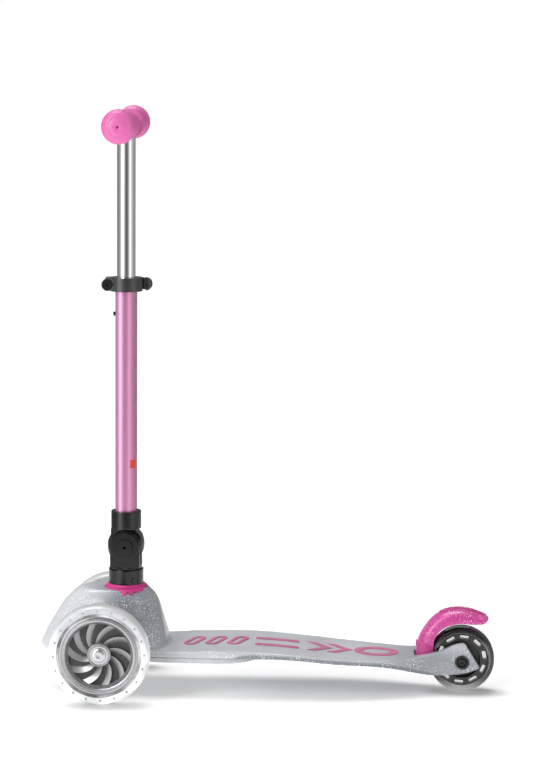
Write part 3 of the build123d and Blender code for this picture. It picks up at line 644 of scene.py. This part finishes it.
def dome_bolt(name, node, centre, side, radius, height, socket, shank, body, material=STEEL):
    """Button-head bolt with a hexagon socket, turned about Y."""
    steps = 72
    dome_steps = 7
    brim = socket * 1.25
    # Each ring's radius, its place along the bolt, and whether it is a hexagon
    shape = [(AXLE_R, shank, False), (AXLE_R, 0.2, False), (radius, 0.0, False), (radius, 0.8, False)]
    for step in range(dome_steps + 1):
        angle = math.pi / 2 * step / dome_steps
        shape.append((brim + (radius - brim) * math.cos(angle), 0.9 + height * math.sin(angle), False))
    shape += [(socket, height + 0.85, True), (socket * 0.96, height - 1.6, True), (0.0, height - 1.9, False)]
    bm = bmesh.new()
    rings = []
    for ring_radius, along, hexed in shape:
        ring = []
        for step in range(steps):
            angle = 2 * math.pi * step / steps
            reach = hexagon_reach(angle, ring_radius) if hexed else ring_radius
            offset = Vector((reach * math.cos(angle), side * along, reach * math.sin(angle)))
            ring.append(bm.verts.new(centre + offset * MM))
        rings.append(ring)
    bridge(bm, rings, ends=(0,))
    return finish_mesh(name, bm, material, body, [node])


def front_bolts(side):
    name = side_name(side)
    low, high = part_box(f"axle_bolt_{name}")
    outer = max(abs(low.y), abs(high.y))
    length = (high.y - low.y) / MM
    centre = Vector((FRONT_AXLE_X, side * (outer - 3.4 * MM), FRONT_AXLE_Z))
    return dome_bolt(f"axle_screw_{name}", f"axle_bolt_{name}", centre, side, 8.8, 2.6, 3.1, 3.4 - length,
                     f"steer_{name}")


# Rear wheel

def rear_tyre():
    # Frosted disc behind the wheel's windows, with a painted glow
    core = bmesh.new()
    lathe(core, mirrored([(21.6, 1.2), (30.2, 1.2)]), REAR_AXLE, steps=96)
    finish_mesh("wheel_core", core, FROSTED_CORE_PAINTED_GLOW, "wheel_rear")
    # Pale ring with a painted glow near the floor and painted shade above
    ring = bmesh.new()
    outline = mirrored([(34.6, 9.4), (36.0, 11.0), (37.4, 9.4), (37.0, 5.0), (35.0, 5.0)])
    lathe(ring, rounded(outline, 0.5), REAR_AXLE, steps=144)
    finish_mesh("tyre_painted_glow_ring", ring, PAINTED_GLOW_RING, "wheel_rear")
    profile = mirrored([(31.55, 11.6), (33.6, 12.0), (34.4, 11.6), (37.8, 11.3), (39.3, 8.4), (40.0, 2.4)])
    bm = bmesh.new()
    lathe(bm, rounded(profile, 1.0), REAR_AXLE, steps=144)
    return finish_mesh("tyre_rear", bm, SMOKY_TYRE, "wheel_rear", ["rear_tyre"])


def rear_bolt():
    low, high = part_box("rear_axle_bolt")
    centre = Vector((REAR_AXLE.x, low.y + 3.0 * MM, REAR_AXLE.z))
    length = (high.y - low.y) / MM
    # Black lining of the recess round the screw head: painted shade in the recess, and a dark bush there
    recess = bmesh.new()
    middle = (REAR_AXLE.x, low.y + 2.4 * MM, REAR_AXLE.z)
    lathe(recess, [(5.9, 2.4), (7.9, 2.4), (7.9, -2.9), (5.9, -2.9)], middle, steps=60)
    finish_mesh("rear_screw_ring", recess, BLACK_PLASTIC, "chassis")
    return dome_bolt("rear_screw", "rear_axle_bolt", centre, -1, 5.8, 1.8, 2.6, 3.0 - length, "chassis",
                     material=BLACK_STEEL)


# Mudguard

FENDER_HALF = 18.4
FOOT_HALF = 15.0
# Side views of the mudguard's top line, its lower side edge and its underside, as x and height in millimetres
FENDER_OVER = [(180.4, 36.5), (180.0, 50), (182.2, 63), (188.0, 74.6), (196.6, 86.4), (206.4, 94.6),
               (218.4, 99.8), (231, 101.2), (243.4, 99.8), (254.6, 96.4), (262.4, 93.0), (266.8, 90.2)]
FENDER_FLANK = [(200.8, 36), (200.7, 44), (200.4, 54), (200.8, 63), (203.4, 70), (208.6, 76.6), (217.2, 82.2),
                (229.8, 85.6), (241.4, 85.4), (252.4, 85.0), (260.4, 86.0), (265.6, 88.8)]
FENDER_UNDER = [(187.8, 35.4), (187.8, 44), (189.6, 52), (194.2, 64), (200.6, 72.8), (208.6, 79.8),
                (218.6, 84.8), (230.2, 87.3), (241.6, 86.9), (252.4, 85.6), (260.8, 86.4), (266.0, 88.8)]
CHEEK_INNER_Y = 13.2


def curve_points(points, count):
    """Even steps along a smooth curve through points."""
    result = []
    last = len(points) - 1
    for step in range(count + 1):
        place = step / count * last
        index = min(int(place), last - 1)
        t = place - index
        a = Vector(points[max(index - 1, 0)])
        b = Vector(points[index])
        c = Vector(points[index + 1])
        d = Vector(points[min(index + 2, last)])
        result.append(0.5 * (2 * b + (c - a) * t + (2 * a - 5 * b + 4 * c - d) * t ** 2
                             + (3 * b - a - 3 * c + d) * t ** 3))
    return result


def fender_width(t, height):
    """Half width along the mudguard: narrow at its foot, where the fork holds it, and round at its tip."""
    foot = FOOT_HALF + (FENDER_HALF - FOOT_HALF) * max(0.0, min(1.0, (height - 60) / 8))
    tip = math.sqrt(max(0.0, 1 - max(0.0, (t - 0.90) / 0.101) ** 2))
    return foot * (0.25 + 0.75 * tip)


def fender():
    """Crowned pink mudguard, with cheeks that reach down past the sides of the tyre."""
    steps = 72
    around = 26
    over = curve_points(FENDER_OVER, steps)
    flank = curve_points(FENDER_FLANK, steps)
    under = curve_points(FENDER_UNDER, steps)
    bm = bmesh.new()
    rings = []
    for index in range(steps + 1):
        width = fender_width(index / steps, over[index].y)
        inner = min(CHEEK_INNER_Y, width * 0.8)
        section = []
        for turn in range(around + 1):
            phi = math.pi * turn / around
            across = width * math.copysign(abs(math.cos(phi)) ** 0.62, math.cos(phi))
            lift = max(0.0, math.sin(phi)) ** 0.75
            start = flank[index] + (over[index] - flank[index]) * 0.12
            section.append((start + (over[index] - start) * lift, across))
        section += [(flank[index], -width * 0.97), (flank[index], -inner), (under[index], -inner * 0.98),
                    (under[index], 0), (under[index], inner * 0.98), (flank[index], inner),
                    (flank[index], width * 0.97)]
        rings.append([bm.verts.new((place.x * MM, -across * MM, place.y * MM)) for place, across in section])
    bridge(bm, rings, ends=(0, -1))
    return finish_mesh("mudguard", bm, PINK_SHELL, "brake", ["fender"])


def fender_nubs():
    """Rows of small grip nubs over the mudguard's crown."""
    over = curve_points(FENDER_OVER, 144)
    bm = bmesh.new()
    for row, across in enumerate((-8, -4, 0, 4, 8)):
        for index in range(68 + 3 * (row % 2), 132, 6):
            place = over[index]
            ahead = over[index + 1] - over[index - 1]
            normal = Vector((-ahead.y, ahead.x)).normalized()
            seat = place + normal * (0.7 - 0.9 * (abs(across) / 8) ** 2)
            centre = Vector((seat.x, across, seat.y)) * MM
            turn = Vector((0, 0, 1)).rotation_difference(Vector((normal.x, 0, normal.y)))
            matrix = Matrix.Translation(centre) @ turn.to_matrix().to_4x4() @ Matrix.Diagonal((1, 1, 0.7, 1))
            bmesh.ops.create_icosphere(bm, subdivisions=2, radius=1.5 * MM, matrix=matrix)
    return finish_mesh("mudguard_nubs", bm, PINK_SHELL, "brake")


# Column, grips and small parts

GRIP_RIBS = 10
BOOT_TEETH = 22
TOOTH_STEPS = 8


def grip(side):
    """Soft grip: flange, ribbed sleeve and a rounded mushroom end with a small hole."""
    name = side_name(side)
    outline = [(11.05, 32), (17.4, 32.2), (18.2, 33.4), (18.0, 35.2), (16.4, 36.6)]
    for index in range(GRIP_RIBS):
        rib = 38.5 + 4.6 * index
        outline += [(15.4, rib), (16.1, rib + 0.9), (16.1, rib + 2.3), (15.4, rib + 3.2)]
    outline += [(15.6, 85.4), (16.6, 87.4), (18.6, 89.8), (19.9, 92.6), (20.2, 95.4), (19.8, 98.6),
                (18.4, 101.8), (15.6, 104.6), (11.8, 106.6), (11.2, 106.5), (10.7, 106.9), (6.0, 107.8),
                (2.6, 108.0), (1.8, 107.7), (1.5, 105.0), (0.0, 104.6)]
    bm = bmesh.new()
    sleeve = [(radius, side * along) for radius, along in outline]
    lathe(bm, sleeve, (COLUMN_X, 0, BAR_Z), steps=96, closed=False)
    bar = [(11.05, side * 32), (11.05, side * 97.8), (0.0, side * 97.9)]
    lathe(bm, bar, (COLUMN_X, 0, BAR_Z), steps=96, closed=False)
    return finish_mesh(f"soft_grip_{name}", bm, GRIP_RUBBER, "handlebar", [f"grip_{name}"])


def boot():
    """Rubber boot round the column, whose ragged skirt hangs over the rim of the hood's top."""
    steps = BOOT_TEETH * TOOTH_STEPS
    draw = random.Random(11)
    lengths = [draw.uniform(0.1, 1.0) ** 1.5 for _ in range(BOOT_TEETH)]
    top = COLLAR_LOW.z / MM
    mouth = BOOT_HIGH.z / MM
    bm = bmesh.new()
    rings = []
    for step in range(steps):
        angle = 2 * math.pi * step / steps
        point = 1 - abs((step % TOOTH_STEPS) / TOOTH_STEPS - 0.5) * 2
        side = max(abs(math.sin(angle)) ** 0.8, 0.75 if math.cos(angle) > 0 else 0.1)
        drop = 1.0 + lengths[step // TOOTH_STEPS] * 5.5 * point ** 0.8 * side
        rim = 24.4 + 5.0 * abs(math.sin(angle)) ** 1.6
        hem = rim + drop * 0.75 * side
        levels = [(19.8, mouth - 3), (20.2, top + 0.4), (21.6, top + 0.4), (22.6, top - 1.6),
                  (rim - 1.4, mouth + 1.2), (rim, mouth + 0.7), (hem, mouth + 0.5 - drop),
                  (hem - 0.8, mouth + 0.1 - drop), (rim - 2.6, mouth - 0.8), (22.0, mouth - 3)]
        rings.append([bm.verts.new((COLUMN_X + radius * MM * math.cos(angle), radius * MM * math.sin(angle),
                                    height * MM)) for radius, height in levels])
    bridge(bm, rings, around=True)
    piece = finish_mesh("column_boot", bm, PINK_RUBBER, None, ["boot"])
    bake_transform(piece)
    return piece


def coil(name, node, wire, turns):
    """Helical spring with the outer size and length of its CAD sleeve, wound about Y."""
    low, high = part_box(node)
    body = frame["nodes"][node]["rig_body"]
    centre = (low + high) / 2
    radius = (high.x - low.x) / 2 - wire * MM / 2
    length = high.y - low.y - wire * MM
    steps = turns * 28
    section = 10
    bm = bmesh.new()
    rings = []
    for step in range(steps + 1):
        t = step / steps
        angle = 2 * math.pi * turns * t
        out = Vector((math.cos(angle), 0, math.sin(angle)))
        middle = Vector((centre.x, low.y + wire * MM / 2 + length * t, centre.z)) + out * radius
        ring = []
        for turn in range(section):
            phi = 2 * math.pi * turn / section
            round_wire = out * math.cos(phi) + Vector((0, math.sin(phi), 0))
            ring.append(bm.verts.new(middle + round_wire * wire * MM / 2))
        rings.append(ring)
    bridge(bm, rings, ends=(0, -1))
    return finish_mesh(name, bm, STEEL, body, [node])


def red_tag():
    """Small blank label on the mast, near its foot."""
    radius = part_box("outer_tube")[1].x - COLUMN_X
    bm = bmesh.new()
    columns = 8
    grids = []
    for lift in (0.02, 0.16):
        grid = []
        for column in range(columns + 1):
            angle = math.radians(-63.5 + 35.0 * column / columns)
            out = radius + lift * MM
            grid.append([bm.verts.new((COLUMN_X + out * math.cos(angle), out * math.sin(angle), height * MM))
                         for height in (268.6, 272.0, 275.4, 278.8)])
        grids.append(grid)
    close_sheets(bm, grids[0], grids[1])
    return finish_mesh("red_tag", bm, RED_LABEL, "mast")


# Piece, CAD node, voxel in millimetres, smoothing rounds, material and slot
SOFTENED = [
    ("deck_shell", "deck", 1.25, 6, SHELL, "clear_shell"),
    ("cover_shell", "bottom_cover", 0.9, 3, COVER, "cover_plastic"),
    ("deck_inserts", "grip_pads", 0.5, 3, PINK_PADS, "pink_pads"),
    ("fork_lower", "hinge_fork", 0.6, 4, BLACK_PLASTIC, "black_plastic"),
    ("hinge_disc", "hinge_cap", 0.35, 4, BLACK_PLASTIC, "black_plastic"),
    ("hinge_button", "fold_button", 0.35, 4, BLACK_PLASTIC, "black_plastic"),
    ("hinge_upper", "hinge_socket", 0.6, 4, BLACK_PLASTIC, "black_plastic"),
    ("column_collar", "stem_collar", 0.6, 4, BLACK_PLASTIC, "black_plastic"),
    ("clamp_body", "clamp_ring", 0.45, 4, CLAMP_BLACK, "black_plastic"),
    ("clamp_handle", "clamp_lever", 0.45, 5, CLAMP_BLACK, "black_plastic"),
    ("clamp_screw", "clamp_bolt", 0.3, 2, BLACK_STEEL, "steel"),
    ("rear_rim", "rear_hub", 0.5, 3, HUB_BLACK, "hub_black"),
    ("mudguard_strip", "fender_tread", 0.3, 2, BLACK_RUBBER, "black_rubber"),
    ("steering_arm_left", "knuckle_left", 0.6, 4, BLACK_PLASTIC, "black_plastic"),
    ("steering_arm_right", "knuckle_right", 0.6, 4, BLACK_PLASTIC, "black_plastic"),
]


# Studio

OVERHEAD_POWER = 2.0
OVERHEAD_ANGLE = math.radians(40)
OVERHEAD_TILT = (math.radians(-13), math.radians(-11), 0)
KEY_PLACE = (-1.5, -1.5, 1.3)
KEY_TARGET = (-0.1, 0, 0.3)
KEY_SIZE = (0.9, 1.6)
KEY_POWER = 20
FLOOR_HALF = 14


def softbox(name, place, target, size, power):
    light = bpy.data.lights.new(name, "AREA")
    light.shape = "RECTANGLE"
    light.size, light.size_y = size
    light.energy = power
    lamp = bpy.data.objects.new(name, light)
    lamp.location = place
    direction = Vector(target) - Vector(place)
    lamp.rotation_euler = direction.to_track_quat("-Z", "Y").to_euler()
    bpy.context.scene.collection.objects.link(lamp)


def studio_world():
    """White room with two bright sides and a darker stretch between them, as tubes mirror it."""
    world = bpy.data.worlds.new("studio")
    world.use_nodes = True
    bpy.context.scene.world = world
    tree = world.node_tree
    background = tree.nodes["Background"]
    place = tree.nodes.new("ShaderNodeTexCoord")
    around = tree.nodes.new("ShaderNodeTexGradient")
    around.gradient_type = "RADIAL"
    tree.links.new(place.outputs["Generated"], around.inputs["Vector"])
    tones = tree.nodes.new("ShaderNodeValToRGB")
    # Compass direction, in degrees from the camera's side towards the rear wheel, and brightness
    bands = [(-85, 0.38), (-77, 0.48), (-61, 0.9), (-52, 2.4), (-34, 2.4), (-22, 0.72), (-9, 0.28), (3, 0.13),
             (16, 0.13), (29, 0.32), (42, 0.74), (52, 1.3), (60, 1.2), (70, 0.86), (86, 0.52), (104, 0.36),
             (140, 0.28), (180, 0.2), (225, 0.2), (248, 0.22), (268, 0.34)]
    stops = [(0.25 + direction / 360, tone) for direction, tone in bands]
    elements = tones.color_ramp.elements
    while len(elements) < len(stops):
        elements.new(0.5)
    for element, (position, tone) in zip(elements, stops):
        element.position = position
        element.color = (tone, tone, tone, 1)
    tree.links.new(around.outputs["Fac"], tones.inputs["Fac"])
    rays = tree.nodes.new("ShaderNodeLightPath")
    seen = tree.nodes.new("ShaderNodeMix")
    seen.data_type = "RGBA"
    tree.links.new(rays.outputs["Is Camera Ray"], seen.inputs[0])
    tree.links.new(tones.outputs["Color"], seen.inputs[6])
    seen.inputs[7].default_value = (1, 1, 1, 1)
    tree.links.new(seen.outputs[2], background.inputs["Color"])
    soften = tree.nodes.new("ShaderNodeMapRange")
    tree.links.new(rays.outputs["Is Diffuse Ray"], soften.inputs["Value"])
    soften.inputs["To Min"].default_value = 1.0
    soften.inputs["To Max"].default_value = 0.6
    tree.links.new(soften.outputs["Result"], background.inputs["Strength"])


CONTACT_SHADOW_REACH = (66, 26, 40)


def floor_material():
    """Pale matt floor, with painted contact shadows under the wheels; mirrors see it near the object, and the
    room beyond it.
    """
    material, bsdf = shader("floor", 0.7, Emission_Color=(1, 1, 1, 1), Emission_Strength=0.20)
    tone = ramp(material, noise(material, 3.0), [(0.3, (0.93, 0.93, 0.93)), (0.7, (0.95, 0.95, 0.95))])
    # Painted contact shadows: the floor darkens under each wheel
    contacts = [(FRONT_AXLE_X, -TRACK_HALF), (FRONT_AXLE_X, TRACK_HALF), (REAR_AXLE.x, 0)]
    for x, y in contacts:
        shadow = blob(material, (x / MM + 6, y / MM - 10, 0), CONTACT_SHADOW_REACH, 0.55)
        tone = mix(material, shadow, tone, (0.25, 0.25, 0.25))
    join(material, tone, bsdf.inputs["Base Color"])
    join(material, tone, bsdf.inputs["Emission Color"])
    reach = add(material, "ShaderNodeVectorMath")
    reach.operation = "LENGTH"
    join(material, object_place(material), reach.inputs[0])
    far = remap(material, reach.outputs["Value"], 0.75, 0.95, 0.0, 1.0)
    hidden = times(material, add(material, "ShaderNodeLightPath").outputs["Is Glossy Ray"], far)
    clear = add(material, "ShaderNodeBsdfTransparent")
    blend = add(material, "ShaderNodeMixShader")
    join(material, hidden, blend.inputs[0])
    join(material, bsdf.outputs[0], blend.inputs[1])
    join(material, clear.outputs[0], blend.inputs[2])
    join(material, blend.outputs[0], material.node_tree.nodes["Material Output"].inputs["Surface"])
    return material


def studio():
    studio_world()
    sun = bpy.data.lights.new("overhead", "SUN")
    sun.energy = OVERHEAD_POWER
    sun.angle = OVERHEAD_ANGLE
    lamp = bpy.data.objects.new("overhead", sun)
    lamp.rotation_euler = OVERHEAD_TILT
    bpy.context.scene.collection.objects.link(lamp)
    softbox("key", KEY_PLACE, KEY_TARGET, KEY_SIZE, KEY_POWER)
    bm = bmesh.new()
    bmesh.ops.create_grid(bm, x_segments=24, y_segments=24, size=FLOOR_HALF)
    mesh = bpy.data.meshes.new("floor")
    bm.to_mesh(mesh)
    bm.free()
    floor = bpy.data.objects.new("floor", mesh)
    bpy.context.scene.collection.objects.link(floor)
    mesh.materials.append(floor_material())


def camera():
    yaw, pitch, roll = CAMERA_YAW, CAMERA_PITCH, CAMERA_ROLL
    forward = Vector((-math.sin(yaw) * math.cos(pitch), math.cos(yaw) * math.cos(pitch), -math.sin(pitch)))
    level = Vector((math.cos(yaw), math.sin(yaw), 0))
    upright = level.cross(forward)
    right = level * math.cos(roll) + upright * math.sin(roll)
    up = upright * math.cos(roll) - level * math.sin(roll)
    data = bpy.data.cameras.new("camera")
    data.lens = CAMERA_LENS
    data.sensor_width = 36
    data.clip_end = 100
    view = bpy.data.objects.new("camera", data)
    turn = Matrix((right, up, -forward)).transposed().to_4x4()
    view.matrix_world = Matrix.Translation(Vector(CAMERA_PLACE)) @ turn
    bpy.context.scene.collection.objects.link(view)
    bpy.context.scene.camera = view
    bpy.context.scene.view_settings.view_transform = "Standard"


camera()
studio()
finish_cad_nodes()
for piece, node, voxel, rounds, material, slot in SOFTENED:
    softened(piece, node, voxel, rounds, material)
for side in (-1, 1):
    front_tyre(side)
    light_chips(side)
    groove_ring(side)
    front_rim(side)
    front_hub(side)
    front_bolts(side)
    grip(side)
rear_tyre()
rear_bolt()
fender()
fender_nubs()
boot()
coil("lean_coil_left", "lean_spring_left", 1.2, 3)
coil("lean_coil_right", "lean_spring_right", 1.2, 3)
coil("fold_coil", "fold_spring", 1.0, 3)
coil("fender_coil", "fender_spring", 1.4, 5)
red_tag()
